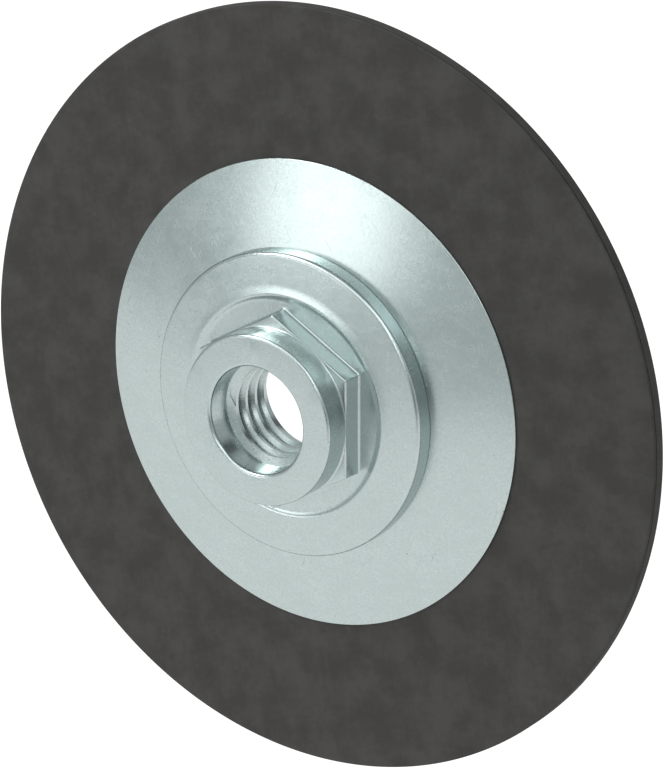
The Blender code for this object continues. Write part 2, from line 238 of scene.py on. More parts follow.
# --- Hub nut ----------------------------------------------------------------------------
# One piece of steel, turned and forged to a round collar over a hexagon and a crowned
# clamping flange, tapped 5/8-11, zinc plated, and riveted over at the far end.
HUB_TURN_STEPS = 360
ROUNDING_STEPS = 5
SAME_PLACE = 1e-7
HUB_BLANK_BORE = 5.0 * MM
COLLAR_RADIUS = 12.66 * MM
COLLAR_ROUND = 0.45 * MM
MOUTH_ROUND = 0.55 * MM
HEX_HALF_WIDTH = 12.7 * MM
HEX_DEPTH = 4.1 * MM
HEX_CORNER_ROUND = 0.3 * MM
COLLAR_FOOT = 0.3 * MM
HEX_CHAMFER = 0.32 * MM
HEX_FILLET = 0.4 * MM
DISH_DEPTH = 7.3 * MM
DISH_RADIUS = 15.95 * MM
DISH_ROUND = 0.3 * MM
CROWN_DEPTH = 7.0 * MM
CROWN_RADIUS = 16.6 * MM
CROWN_FOOT_RADIUS = 17.6 * MM
CROWN_FOOT_DEPTH = 7.22 * MM
CROWN_FOOT_ROUND = 0.5 * MM
FLANGE_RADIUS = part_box("hub_nut")[1].x
FLANGE_TOP_DEPTH = 7.65 * MM
FLANGE_TOP_ROUND = 0.6 * MM
FLANGE_SEAT_ROUND = 0.15 * MM
FLANGE_SEAT_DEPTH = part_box("back_flange")[0].y
COUNTERBORE_RADIUS = 7.97 * MM
COUNTERBORE_DEPTH = 4.1 * MM
COUNTERBORE_SLOPE = 0.45 * MM
THREAD_PITCH = 25.4 / 11 * MM
THREAD_MINOR = 6.8 * MM
THREAD_MAJOR = 7.94 * MM
THREAD_END = 12.35 * MM
THREAD_TURN_STEPS = 144
THREAD_TURNS = 6
THREAD_FLANK = 0.285 * THREAD_PITCH
THREAD_OVERLAP = 0.15 * MM
ROOT_EASE = 0.08 * MM
ROOT_STEP = 0.06 * MM
RUN_OUT_END = 14.0 * MM
TAP_START = COUNTERBORE_DEPTH + 0.12 * MM
TAP_END = THREAD_END + 0.3 * MM
CREST_ANGLE = 190
CREST_DEPTH = 9.7 * MM
SPIGOT_RADIUS = 10.9 * MM
SPIGOT_BORE = 9.7 * MM
SPIGOT_FLARE_DEPTH = 15.9 * MM
SPIGOT_FLARE = 0.4 * MM
LIP_RADIUS = 13.0 * MM
LIP_DEPTH = 16.5 * MM
LIP_END = 17.3 * MM
TOOL_START = -3.0 * MM
TOOL_END = 20.0 * MM
CORNER_CROWDING = 0.85


def turned_shape(corners, steps, ring=True):
    """A solid turned on the wheel's axis from (radius, depth, rounding) corners.

    A ring's outline closes on itself. Any other starts and ends on the axis.
    """
    shape = bmesh.new()
    outline = [shape.verts.new((radius, depth, 0.0)) for radius, depth, _ in corners]
    followers = outline[1:] + outline[:1] if ring else outline[1:]
    for first, second in zip(outline, followers):
        shape.edges.new((first, second))
    for corner, (_, _, rounding) in zip(outline, corners):
        if rounding:
            bmesh.ops.bevel(
                shape, geom=[corner], offset=rounding, segments=ROUNDING_STEPS, profile=0.5,
                affect="VERTICES", material=-1,
            )
    bmesh.ops.spin(
        shape, geom=shape.verts[:] + shape.edges[:], cent=(0, 0, 0), axis=(0, 1, 0), angle=math.tau,
        steps=steps, use_merge=True,
    )
    if not ring:
        bmesh.ops.remove_doubles(shape, verts=shape.verts, dist=SAME_PLACE)
    bmesh.ops.recalc_face_normals(shape, faces=shape.faces)
    return shape


def new_piece(name, shape, *finishes):
    """The object of a finished shape, smooth except across its sharp edges."""
    mesh = bpy.data.meshes.new(name)
    shape.to_mesh(mesh)
    shape.free()
    mesh.shade_smooth()
    mesh.set_sharp_from_angle(angle=math.radians(32))
    for finish in finishes:
        mesh.materials.append(finish)
    piece = bpy.data.objects.new(name, mesh)
    bpy.context.scene.collection.objects.link(piece)
    return piece


def even_normals(piece):
    """Keeps broad flats flat beside their small rounds."""
    weighting = piece.modifiers.new("even_normals", "WEIGHTED_NORMAL")
    weighting.keep_sharp = True
    weighting.weight = 80


def new_finish(name):
    """A material, its Principled shader node, and its Object coordinates."""
    material = bpy.data.materials.new(name)
    material.use_nodes = True
    shader = material.node_tree.nodes["Principled BSDF"]
    place = Shade(material.node_tree).node("TexCoord", output="Object")
    return material, shader, place


def feed(shader, place, sockets):
    """Sets the shader's sockets to numbers, or links them."""
    for name, value in sockets.items():
        if isinstance(value, Shade):
            place.tree.links.new(value.socket, shader.inputs[name])
        else:
            shader.inputs[name].default_value = value


def scratches(place, axis, degrees, length, width, sparsity):
    """Thin marks in one direction, 1 on a mark and 0 beside it."""
    turned = place.turned(axis, degrees)
    drift = turned.node("TexNoise", inputs={"Vector": turned, "Scale": 55.0}, output="Color")
    drift = drift.node("VectorMath", {"operation": "SCALE"}, {0: drift, "Scale": 1.6 * MM})
    wavy = turned.node("VectorMath", {"operation": "ADD"}, {0: turned, 1: drift})
    marks = wavy.noise(width, detail=0.0, stretch=(length / width, length / width, 1.0))
    fields = turned.moved(0.31, 0.17, degrees * MM).noise(length * 0.8, detail=1.0)
    return marks.rise(sparsity, sparsity + 0.035) * fields.rise(0.54, 0.62)


def zinc_plate(name, lay):
    """Bright zinc on steel: pale blue-green, finely grained, clouded, scratched and pitted."""
    material, shader, place = new_finish(name)
    cloud = place.noise(9 * MM, detail=4.0, roughness=0.6)
    smudge = place.moved(0.4, 0.2, 0.1)
    smudge = smudge.noise(3.0 * MM, detail=4.0, roughness=0.6, stretch=(1.0, 1.0, 0.6))
    grain = place.noise(0.14 * MM, detail=2.0, roughness=0.6)
    blotch = place.noise(0.42 * MM, detail=2.0, roughness=0.6)
    dark_marks = scratches(place, "Y", lay, 4 * MM, 0.10 * MM, 0.76) * cloud.rise(0.5, 0.62)
    pale_marks = scratches(place.moved(0.2, 0.0, 0.3), "Y", lay + 63, 3.5 * MM, 0.08 * MM, 0.745)
    pits = place.noise(0.3 * MM, detail=0.0).rise(0.80, 0.83) * cloud.rise(0.48, 0.6)
    tone = cloud.rise(0.3, 0.7) * 0.5 + smudge.rise(0.3, 0.72) * 0.5
    plate = tone.mix((0.455, 0.523, 0.513), (0.535, 0.603, 0.592))
    speckled = (grain * 0.6 + blotch * 0.4).rise(0.36, 0.66).mix((0.43, 0.497, 0.488), plate)
    marked = (dark_marks * 0.6 + pits * 0.6).mix(speckled, (0.15, 0.18, 0.18))
    coloured = (pale_marks * 0.16).mix(marked, (0.72, 0.78, 0.77))
    height = grain * 2.6 + blotch * 4.0 + smudge * 6.0
    height = height - dark_marks * 3.0 - pale_marks * 2.0 - pits * 4.0
    bump = place.node("Bump", inputs={"Strength": 1.0, "Distance": 0.001 * MM, "Height": height})
    feed(shader, place, {
        "Base Color": coloured,
        "Roughness": 0.17 + cloud * 0.10 + smudge * 0.09 + pale_marks * 0.1,
        "Metallic": 1.0,
        "Normal": bump,
    })
    return material


def hexagon_reach(angle):
    """Distance from the axis to the rounded hexagon, whose points are at +Z and -Z."""
    side = math.radians(60)
    off_point = (angle - math.pi / 2 + side / 2) % side - side / 2
    centre = (HEX_HALF_WIDTH - HEX_CORNER_ROUND) / math.cos(side / 2)
    across = centre * math.sin(off_point)
    if abs(across) < HEX_CORNER_ROUND * 0.5:
        return centre * math.cos(off_point) + math.sqrt(HEX_CORNER_ROUND ** 2 - across ** 2)
    return HEX_HALF_WIDTH / math.cos(side / 2 - abs(off_point))


HEX_CORNER = hexagon_reach(math.pi / 2)
hub_corners = [
    (HUB_BLANK_BORE, 0.0, 0.0),
    (COLLAR_RADIUS, 0.0, COLLAR_ROUND),
    (COLLAR_RADIUS, HEX_DEPTH, COLLAR_FOOT),
    (HEX_CORNER, HEX_DEPTH, HEX_CHAMFER),
    (HEX_CORNER, DISH_DEPTH, HEX_FILLET),
    (DISH_RADIUS, DISH_DEPTH, DISH_ROUND),
    (CROWN_RADIUS, CROWN_DEPTH, DISH_ROUND),
    (CROWN_FOOT_RADIUS, CROWN_FOOT_DEPTH, CROWN_FOOT_ROUND),
    (FLANGE_RADIUS, FLANGE_TOP_DEPTH, FLANGE_TOP_ROUND),
    (FLANGE_RADIUS, FLANGE_SEAT_DEPTH, FLANGE_SEAT_ROUND),
    (SPIGOT_RADIUS, FLANGE_SEAT_DEPTH, 0.0),
    (SPIGOT_RADIUS, LIP_DEPTH, 0.1 * MM),
    (LIP_RADIUS, LIP_DEPTH, 0.3 * MM),
    (LIP_RADIUS, LIP_END, 0.35 * MM),
    (HUB_BLANK_BORE, LIP_END, 0.0),
]

# The turned blank has a round boss where the hexagon goes. Its points are moved in to the
# flats, crowded towards the hexagon's corners, and the chamfer narrows with the room for it.
shape = turned_shape(hub_corners, HUB_TURN_STEPS)
for vert in shape.verts:
    angle = math.atan2(vert.co.z, vert.co.x)
    radius = math.hypot(vert.co.x, vert.co.z)
    depth = vert.co.y
    on_boss = radius < HEX_CORNER + HEX_FILLET + SAME_PLACE
    if on_boss:
        angle -= CORNER_CROWDING * math.sin(6 * (angle - math.pi / 2)) / 6
    reach = hexagon_reach(angle)
    narrowing = min(1.0, 0.9 * (reach - COLLAR_RADIUS) / (COLLAR_FOOT + HEX_CHAMFER))
    above_foot = depth > HEX_DEPTH - COLLAR_FOOT - SAME_PLACE
    near_face = above_foot and depth < HEX_DEPTH + HEX_CHAMFER + SAME_PLACE
    foot_end = COLLAR_RADIUS + COLLAR_FOOT + SAME_PLACE
    if near_face and COLLAR_RADIUS - SAME_PLACE < radius < foot_end:
        radius = COLLAR_RADIUS + (radius - COLLAR_RADIUS) * narrowing
        depth = HEX_DEPTH + (depth - HEX_DEPTH) * narrowing
    elif near_face and radius > COLLAR_RADIUS:
        radius = reach - (HEX_CORNER - radius) * narrowing
        depth = HEX_DEPTH + (depth - HEX_DEPTH) * narrowing
    elif on_boss and HEX_DEPTH < depth < DISH_DEPTH + SAME_PLACE:
        radius += reach - HEX_CORNER
    vert.co = (radius * math.cos(angle), depth, radius * math.sin(angle))
hub = new_piece("hub_nut_forging", shape)

bore_corners = [
    (0.0, TOOL_START, 0.0),
    (COUNTERBORE_RADIUS + MOUTH_ROUND, TOOL_START, 0.0),
    (COUNTERBORE_RADIUS + MOUTH_ROUND, 0.0, 0.0),
    (COUNTERBORE_RADIUS, MOUTH_ROUND, 0.0),
    (COUNTERBORE_RADIUS, COUNTERBORE_DEPTH, 0.0),
    (THREAD_MINOR, COUNTERBORE_DEPTH + COUNTERBORE_SLOPE, 0.0),
    (THREAD_MINOR, THREAD_END, 0.0),
    (COUNTERBORE_RADIUS, THREAD_END, 0.0),
    (COUNTERBORE_RADIUS, RUN_OUT_END, 0.0),
    (SPIGOT_BORE, RUN_OUT_END, 0.2 * MM),
    (SPIGOT_BORE, SPIGOT_FLARE_DEPTH, 0.3 * MM),
    (SPIGOT_RADIUS + SPIGOT_FLARE, LIP_END, 0.0),
    (SPIGOT_RADIUS + SPIGOT_FLARE, TOOL_END, 0.0),
    (0.0, TOOL_END, 0.0),
]
MOUTH_CORNER = 2


def mouth_outline(corners, index, centre, radius, steps):
    """Swaps the chamfer after a corner for an arc that meets the face and the wall."""
    points = []
    for k in range(steps + 1):
        swing = math.radians(-90 - 90 * k / steps)
        across, deep = radius * math.cos(swing), radius * math.sin(swing)
        points.append((centre[0] + across, centre[1] + deep, 0.0))
    corners[index:index + 2] = points


mouth_centre = (COUNTERBORE_RADIUS + MOUTH_ROUND, MOUTH_ROUND)
mouth_outline(bore_corners, MOUTH_CORNER, mouth_centre, MOUTH_ROUND, ROUNDING_STEPS)


def thread_core(name):
    """The helical tap: a 60 degree thread form swept down the bore as a solid screw."""
    crest = THREAD_PITCH / 8
    slant = THREAD_FLANK / (THREAD_MAJOR - THREAD_MINOR)
    inside = THREAD_MINOR - THREAD_OVERLAP
    flank_start = crest - THREAD_OVERLAP * slant
    flank_end = crest + THREAD_FLANK - ROOT_EASE * slant
    root_start = crest + THREAD_FLANK + ROOT_STEP
    outline = [
        (inside, 0.0),
        (inside, flank_start),
        (THREAD_MAJOR - ROOT_EASE, flank_end),
        (THREAD_MAJOR, root_start),
        (THREAD_MAJOR, THREAD_PITCH - root_start),
        (THREAD_MAJOR - ROOT_EASE, THREAD_PITCH - flank_end),
        (inside, THREAD_PITCH - flank_start),
        (inside, THREAD_PITCH),
    ]
    top = CREST_DEPTH - THREAD_TURNS / 2 * THREAD_PITCH
    shape = bmesh.new()
    rail = [shape.verts.new((radius, top + depth, 0.0)) for radius, depth in outline]
    edges = [shape.edges.new(pair) for pair in zip(rail, rail[1:])]
    start = Matrix.Rotation(-math.radians(CREST_ANGLE), 3, "Y")
    bmesh.ops.rotate(shape, verts=rail, cent=(0, 0, 0), matrix=start)
    bmesh.ops.spin(
        shape, geom=rail + edges, cent=(0, 0, 0), axis=(0, 1, 0),
        angle=math.tau * THREAD_TURNS, steps=THREAD_TURN_STEPS * THREAD_TURNS,
        dvec=(0.0, THREAD_PITCH / THREAD_TURN_STEPS, 0.0),
    )
    bmesh.ops.remove_doubles(shape, verts=shape.verts, dist=2e-6)
    for depth, side in ((TAP_START, -1.0), (TAP_END, 1.0)):
        bmesh.ops.bisect_plane(
            shape, geom=shape.verts[:] + shape.edges[:] + shape.faces[:], dist=SAME_PLACE,
            plane_co=(0, depth, 0), plane_no=(0, side, 0), clear_outer=True,
        )
    bmesh.ops.holes_fill(shape, edges=[edge for edge in shape.edges if edge.is_boundary])
    bmesh.ops.recalc_face_normals(shape, faces=shape.faces)
    return new_piece(name, shape)


def cut(piece, cutter):
    """Takes the cutter's volume out of the piece, and removes the cutter."""
    boolean = piece.modifiers.new("cut", "BOOLEAN")
    boolean.operation = "DIFFERENCE"
    boolean.solver = "EXACT"
    boolean.object = cutter
    graph = bpy.context.evaluated_depsgraph_get()
    mesh = bpy.data.meshes.new_from_object(piece.evaluated_get(graph))
    if len(mesh.polygons) < len(piece.data.polygons) / 2:
        raise RuntimeError(f"{cutter.name} took away {piece.name}")
    piece.modifiers.clear()
    piece.data = mesh
    bpy.data.objects.remove(cutter)


cut(hub, new_piece("bore_tool", turned_shape(bore_corners, HUB_TURN_STEPS, ring=False)))
cut(hub, thread_core("thread_tap"))
hub.data.shade_smooth()
hub.data.set_sharp_from_angle(angle=math.radians(22))
hub.data.materials.clear()
hub.data.materials.append(zinc_plate("zinc_plated_hub", 20))
even_normals(hub)
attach(hub, "root")
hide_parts("hub_nut")

# --- Back flange ------------------------------------------------------------------------
# A steel disc coined to a shallow cone, zinc plated, which spreads the hub's clamp load
# over the plate. Its edge is drawn down to a thin lip that lies on the facing.
FLANGE_TURN_STEPS = 360
FLANGE_FLAT = 22.3 * MM
FLANGE_THICKNESS = 1.0 * MM
FLANGE_LIP = 0.3 * MM
FLANGE_LIP_WIDTH = 4.0 * MM
FLANGE_LIFT = 0.02 * MM
STACK_BORE = 11.1 * MM

low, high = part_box("back_flange")
flange_corners = [
    (STACK_BORE, low.y, 0.1 * MM),
    (FLANGE_FLAT, low.y, 0.0),
    (high.x, plate_back - FLANGE_LIP, 0.08 * MM),
    (high.x, plate_back - FLANGE_LIFT, 0.06 * MM),
    (high.x - FLANGE_LIP_WIDTH, plate_back - FLANGE_LIFT, 0.0),
    (FLANGE_FLAT, low.y + FLANGE_THICKNESS, 0.0),
    (STACK_BORE, low.y + FLANGE_THICKNESS, 0.1 * MM),
]
flange_shape = turned_shape(flange_corners, FLANGE_TURN_STEPS)
flange = new_piece("back_flange_cone", flange_shape, zinc_plate("zinc_plated_cone", 68))
even_normals(flange)
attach(flange, "root")
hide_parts("back_flange")

# --- Back facing ------------------------------------------------------------------------
# The dark vulcanised fibre sheet on the hub side: mottled, matte, with a lightly broken
# edge at the rim.
PLATE_TURN_STEPS = 480
PLATE_BORE = 14.1 * MM
PLATE_FLAT = 22.2 * MM
PLATE_CONE_FOOT = 30.52 * MM
CENTRE_RISE = 1.35 * MM
FACING_EDGE_ROUND = 0.29 * MM


def plate_layer(outer_radius, inner_radius, depth, thickness, edge_round):
    """A sheet of the plate, which is flat, then a cone, then flat again at the centre."""
    return [
        (inner_radius, depth - CENTRE_RISE, 0.0),
        (PLATE_FLAT, depth - CENTRE_RISE, 0.3 * MM),
        (PLATE_CONE_FOOT, depth, 0.5 * MM),
        (outer_radius, depth, edge_round),
        (outer_radius, depth + thickness, 0.05 * MM),
        (PLATE_CONE_FOOT, depth + thickness, 0.5 * MM),
        (PLATE_FLAT, depth + thickness - CENTRE_RISE, 0.3 * MM),
        (inner_radius, depth + thickness - CENTRE_RISE, 0.0),
    ]


def dark_fibre(name, lay):
    """Dark grey fibre sheet, its fibres and pulp showing as a soft low mottle."""
    material, shader, place = new_finish(name)
    pulp = place.noise(5.0 * MM, detail=5.0, roughness=0.62)
    warp = place.turned("Y", lay)
    warp = warp.noise(0.9 * MM, detail=3.0, roughness=0.6, stretch=(3.0, 1.0, 1.0))
    weft = place.turned("Y", lay + 74)
    weft = weft.noise(0.8 * MM, detail=3.0, roughness=0.6, stretch=(3.4, 1.0, 1.0))
    grain = place.noise(0.22 * MM, detail=2.0)
    mottle = pulp * 0.7 + warp * 0.15 + weft * 0.15
    specks = place.noise(0.28 * MM, detail=0.0).rise(0.77, 0.81)
    sheet = mottle.rise(0.36, 0.64).mix((0.0305, 0.0292, 0.0272), (0.0465, 0.0448, 0.0420))
    feed(shader, place, {
        "Base Color": (specks * 0.15).mix(sheet, (0.11, 0.105, 0.095)),
        "Roughness": 0.66 + mottle * 0.2,
        "Specular IOR Level": 0.24,
        "Normal": place.node("Bump", inputs={
            "Strength": 0.7, "Distance": 0.01 * MM, "Height": grain * 0.6 + warp * 0.8 + weft * 0.8,
        }),
    })
    return material


fibre = dark_fibre("dark_fibre_facing", 25)
rim_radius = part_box("core_plate")[1].x
facing_corners = plate_layer(
    rim_radius, PLATE_BORE, plate_back, FACING_THICKNESS, FACING_EDGE_ROUND
)
facing = new_piece("fibre_facing", turned_shape(facing_corners, PLATE_TURN_STEPS), fibre)
even_normals(facing)
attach(facing, "root")
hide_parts("back_facing")

# --- Core plate -------------------------------------------------------------------------
# The bonded core that gives the wheel its stiffness. Only its rim shows from the hub side,
# under a fine parting line below the facing. A shallow pocket in each face holds a cloth.
CORE_THICKNESS = 1.65 * MM
CORE_EDGE_ROUND = 0.1 * MM
PARTING_LINE = 0.2 * MM
POCKET_RADIUS = 55.15 * MM
POCKET_DEPTH = 0.45 * MM


def resin_bond(name):
    """Dark bonded core: fine filler grains in resin, faintly banded round the rim."""
    material, shader, place = new_finish(name)
    filler = place.noise(0.35 * MM, detail=3.0, roughness=0.7)
    coarse = place.noise(2.4 * MM, detail=3.0)
    bright = place.noise(0.2 * MM, detail=0.0).rise(0.78, 0.81)
    tone = (filler * 0.6 + coarse * 0.4).rise(0.3, 0.7)
    tone = tone.mix((0.027, 0.0255, 0.0235), (0.043, 0.041, 0.038))
    feed(shader, place, {
        "Base Color": (bright * 0.3).mix(tone, (0.12, 0.115, 0.105)),
        "Roughness": 0.68 + filler * 0.2,
        "Specular IOR Level": 0.2,
        "Normal": place.node("Bump", inputs={
            "Strength": 0.8, "Distance": 0.02 * MM, "Height": filler,
        }),
    })
    return material


core_top = plate_back + FACING_THICKNESS + PARTING_LINE
core_bottom = core_top + CORE_THICKNESS
core_corners = plate_layer(
    rim_radius, PLATE_BORE, core_top + POCKET_DEPTH, CORE_THICKNESS - 2 * POCKET_DEPTH, 0.0
)
core_corners[3:5] = [
    (POCKET_RADIUS, core_top + POCKET_DEPTH, 0.0),
    (POCKET_RADIUS, core_top, 0.0),
    (rim_radius, core_top, CORE_EDGE_ROUND),
    (rim_radius, core_bottom, 0.05 * MM),
    (POCKET_RADIUS, core_bottom, 0.0),
    (POCKET_RADIUS, core_bottom - POCKET_DEPTH, 0.0),
]
core_shape = turned_shape(core_corners, PLATE_TURN_STEPS)
core = new_piece("bonded_core", core_shape, resin_bond("resin_bonded_core"))
even_normals(core)
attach(core, "root")
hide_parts("core_plate")

# --- Glass cloths -----------------------------------------------------------------------
# Two discs of leno-woven glass cloth, soaked in resin and moulded into the core's faces.
# The front one shows between the front flange and the pad carrier.
CLOTH_RADIUS = 54.95 * MM
CLOTH_BORE = 11.9 * MM
CLOTH_THICKNESS = 0.15 * MM
CLOTH_RINGS = 72
CLOTH_SPOKES = 240
YARN_PITCH = 2.4 * MM
YARN_SWELL = 0.028 * MM


def glass_cloth(name):
    """Glass yarns in amber-grey resin: pale strands over dark windows, with fine filaments."""
    material, shader, place = new_finish(name)
    wander = place.noise(6 * MM, detail=1.0) * 0.25
    axes = place.node("SeparateXYZ", inputs={"Vector": place})
    strands = []
    for index in (0, 2):
        side = Shade(place.tree, axes.socket.node.outputs[index])
        fall = Shade(place.tree, axes.socket.node.outputs[2 - index])
        phase = side / YARN_PITCH + wander
        wave = ((phase * math.tau).cosine() * 0.5 + 0.5).rise(0.28, 0.72)
        over = (fall * (math.pi / YARN_PITCH)).cosine()
        strands.append(wave * (over * 0.15 + 0.85))
    yarn = strands[0].math("MAXIMUM", strands[0], strands[1])
    filament = place.noise(0.09 * MM, detail=2.0, stretch=(6.0, 1.0, 1.0)) * strands[1]
    filament = filament + place.noise(0.09 * MM, detail=2.0, stretch=(1.0, 1.0, 6.0)) * strands[0]
    resin = place.noise(1.6 * MM, detail=4.0)
    window = resin.mix((0.035, 0.033, 0.029), (0.062, 0.058, 0.050))
    strand = filament.rise(0.35, 0.8).mix((0.13, 0.125, 0.105), (0.27, 0.26, 0.225))
    feed(shader, place, {
        "Base Color": (yarn * (0.55 + resin * 0.45)).mix(window, strand),
        "Roughness": 0.36 + resin * 0.2 + yarn * 0.12,
        "Normal": place.node("Bump", inputs={
            "Strength": 0.9, "Distance": 0.05 * MM, "Height": yarn + filament * 0.35,
        }),
    })
    return material


cloth_finish = glass_cloth("woven_glass_cloth")
for node, side in (("back_glass_cloth", -1.0), ("front_glass_cloth", 1.0)):
    low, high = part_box(node)
    centre_depth = (low.y + CENTRE_RISE + high.y) / 2
    shape = bmesh.new()
    width = CLOTH_RADIUS - CLOTH_BORE
    radii = [CLOTH_BORE + width * k / CLOTH_RINGS for k in range(CLOTH_RINGS + 1)]
    rail = [shape.verts.new((radius, 0.0, 0.0)) for radius in radii]
    edges = [shape.edges.new(pair) for pair in zip(rail, rail[1:])]
    bmesh.ops.spin(
        shape, geom=rail + edges, cent=(0, 0, 0), axis=(0, 1, 0), angle=math.tau,
        steps=CLOTH_SPOKES, use_merge=True,
    )
    for vert in shape.verts:
        radius = math.hypot(vert.co.x, vert.co.z)
        drop = min(1.0, max(0.0, (radius - PLATE_FLAT) / (PLATE_CONE_FOOT - PLATE_FLAT)))
        warp = math.cos(math.tau * vert.co.x / YARN_PITCH)
        weft = math.cos(math.tau * vert.co.z / YARN_PITCH)
        vert.co.y = centre_depth - CENTRE_RISE * (1.0 - drop) + warp * weft * YARN_SWELL
    bmesh.ops.recalc_face_normals(shape, faces=shape.faces)
    bmesh.ops.solidify(shape, geom=shape.faces[:], thickness=CLOTH_THICKNESS)
    cloth = new_piece(node.replace("glass_cloth", "cloth_disc"), shape, cloth_finish)
    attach(cloth, "root")
    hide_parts(node)

# --- Blotters ---------------------------------------------------------------------------
# Washers of compressed paper fibre under the flanges, which even out the clamping. Only the
# front one's edge shows, round the front flange.
WASHER_STEPS = 240


def blotter_paper(name):
    """Buff compressed paper: short pale fibres, darkened by resin here and there."""
    material, shader, place = new_finish(name)
    along = place.turned("Y", 31)
    along = along.noise(0.3 * MM, detail=3.0, roughness=0.7, stretch=(4.0, 1.0, 1.0))
    across = place.turned("Y", 118).noise(0.3 * MM, detail=3.0, stretch=(4.0, 1.0, 1.0))
    fibres = along * 0.5 + across * 0.5
    stain = place.noise(7 * MM, detail=3.0)
    paper = fibres.rise(0.35, 0.68).mix((0.125, 0.092, 0.055), (0.215, 0.165, 0.105))
    feed(shader, place, {
        "Base Color": (stain.rise(0.4, 0.75) * 0.45).mix(paper, (0.07, 0.055, 0.038)),
        "Roughness": 0.78 + fibres * 0.15,
        "Specular IOR Level": 0.3,
        "Normal": place.node("Bump", inputs={
            "Strength": 0.8, "Distance": 0.03 * MM, "Height": fibres,
        }),
    })
    return material


paper = blotter_paper("blotter_paper")
for node in ("back_blotter", "front_blotter"):
    low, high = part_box(node)
    corners = [
        (STACK_BORE, low.y, 0.0),
        (high.x, low.y, 0.08 * MM),
        (high.x, high.y, 0.08 * MM),
        (STACK_BORE, high.y, 0.0),
    ]
    washer_shape = turned_shape(corners, WASHER_STEPS)
    washer = new_piece(node.replace("blotter", "paper_washer"), washer_shape, paper)
    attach(washer, "root")
    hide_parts(node)

# --- Arbor bush -------------------------------------------------------------------------
# A rolled steel ring pressed into the plate's bore, which centres the plate on the spigot.
BUSH_BORE = 11.12 * MM
low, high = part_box("arbor_bush")
material, shader, place = new_finish("bush_steel")
drawn = place.noise(0.12 * MM, detail=2.0, stretch=(5.0, 1.0, 5.0))
oxide = place.noise(2.5 * MM, detail=3.0).rise(0.45, 0.75)
feed(shader, place, {
    "Base Color": (oxide * 0.6).mix((0.42, 0.42, 0.41), (0.20, 0.17, 0.14)),
    "Roughness": 0.32 + drawn * 0.2 + oxide * 0.15,
    "Metallic": 1.0,
    "Normal": place.node("Bump", inputs={"Strength": 0.5, "Distance": 0.01 * MM, "Height": drawn}),
})
bush_corners = [
    (BUSH_BORE, low.y, 0.1 * MM),
    (high.x, low.y, 0.15 * MM),
    (high.x, high.y, 0.15 * MM),
    (BUSH_BORE, high.y, 0.1 * MM),
]
bush = new_piece("rolled_bush", turned_shape(bush_corners, WASHER_STEPS), material)
even_normals(bush)
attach(bush, "root")
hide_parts("arbor_bush")

# --- Front flange -----------------------------------------------------------------------
# A pressed steel washer, zinc plated. The hub's spigot is riveted over it, which clamps
# the whole stack. A pressed groove runs round it.
GROOVE_INSET = 3.0 * MM
GROOVE_HALF_WIDTH = 0.6 * MM
GROOVE_DEPTH = 0.18 * MM

low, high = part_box("front_flange")
washer_corners = [
    (STACK_BORE, low.y, 0.1 * MM),
    (high.x, low.y, 0.15 * MM),
    (high.x, high.y, 0.45 * MM),
    (high.x - GROOVE_INSET + GROOVE_HALF_WIDTH, high.y, 0.0),
    (high.x - GROOVE_INSET, high.y - GROOVE_DEPTH, 0.0),
    (high.x - GROOVE_INSET - GROOVE_HALF_WIDTH, high.y, 0.0),
    (STACK_BORE, high.y, 0.1 * MM),
]
washer_shape = turned_shape(washer_corners, FLANGE_TURN_STEPS)
front_flange = new_piece("pressed_flange", washer_shape, zinc_plate("zinc_plated_washer", 41))
even_normals(front_flange)
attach(front_flange, "root")
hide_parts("front_flange")

# --- Pad carrier ------------------------------------------------------------------------
# A flat ring of the same fibre sheet, bonded to the core, that the pads are cemented to.
CARRIER_BORE = 31.37 * MM

low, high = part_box("pad_carrier")
core_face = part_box("core_plate")[1].y
carrier_corners = [
    (CARRIER_BORE, core_face, 0.05 * MM),
    (high.x, core_face, 0.05 * MM),
    (high.x, high.y, 0.15 * MM),
    (CARRIER_BORE, high.y, 0.12 * MM),
]
carrier_shape = turned_shape(carrier_corners, PLATE_TURN_STEPS)
carrier = new_piece("fibre_carrier", carrier_shape, dark_fibre("dark_fibre_carrier", 61))
even_normals(carrier)
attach(carrier, "root")
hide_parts("pad_carrier")

# --- Diamond pads -----------------------------------------------------------------------
# Moulded blocks of diamond grit in a metal-filled resin bond, cemented to the carrier. Each
# is a sector of a ring with a worn, gritty top from which small crystals stand up.
ROWS = {
    # row: count, inner radius, outer radius
    "outer": (18, 44.94 * MM, 54.40 * MM),
    "inner": (14, 33.27 * MM, 42.74 * MM),
}
PAD_LANE = 2.2 * MM
PAD_CORNER = 1.0 * MM
PAD_EDGE = 0.35 * MM
PAD_ACROSS_STEPS = 36
PAD_SIDE_HEIGHT = 0.3
CRYSTALS = 90
CRYSTAL_SIZE = 0.16 * MM
CRYSTAL_SUNK = 0.35
GRIT_HEIGHT = 0.09 * MM
GRIT_SIZE = 0.6 * MM
GRIT_ROUGHNESS = 0.55


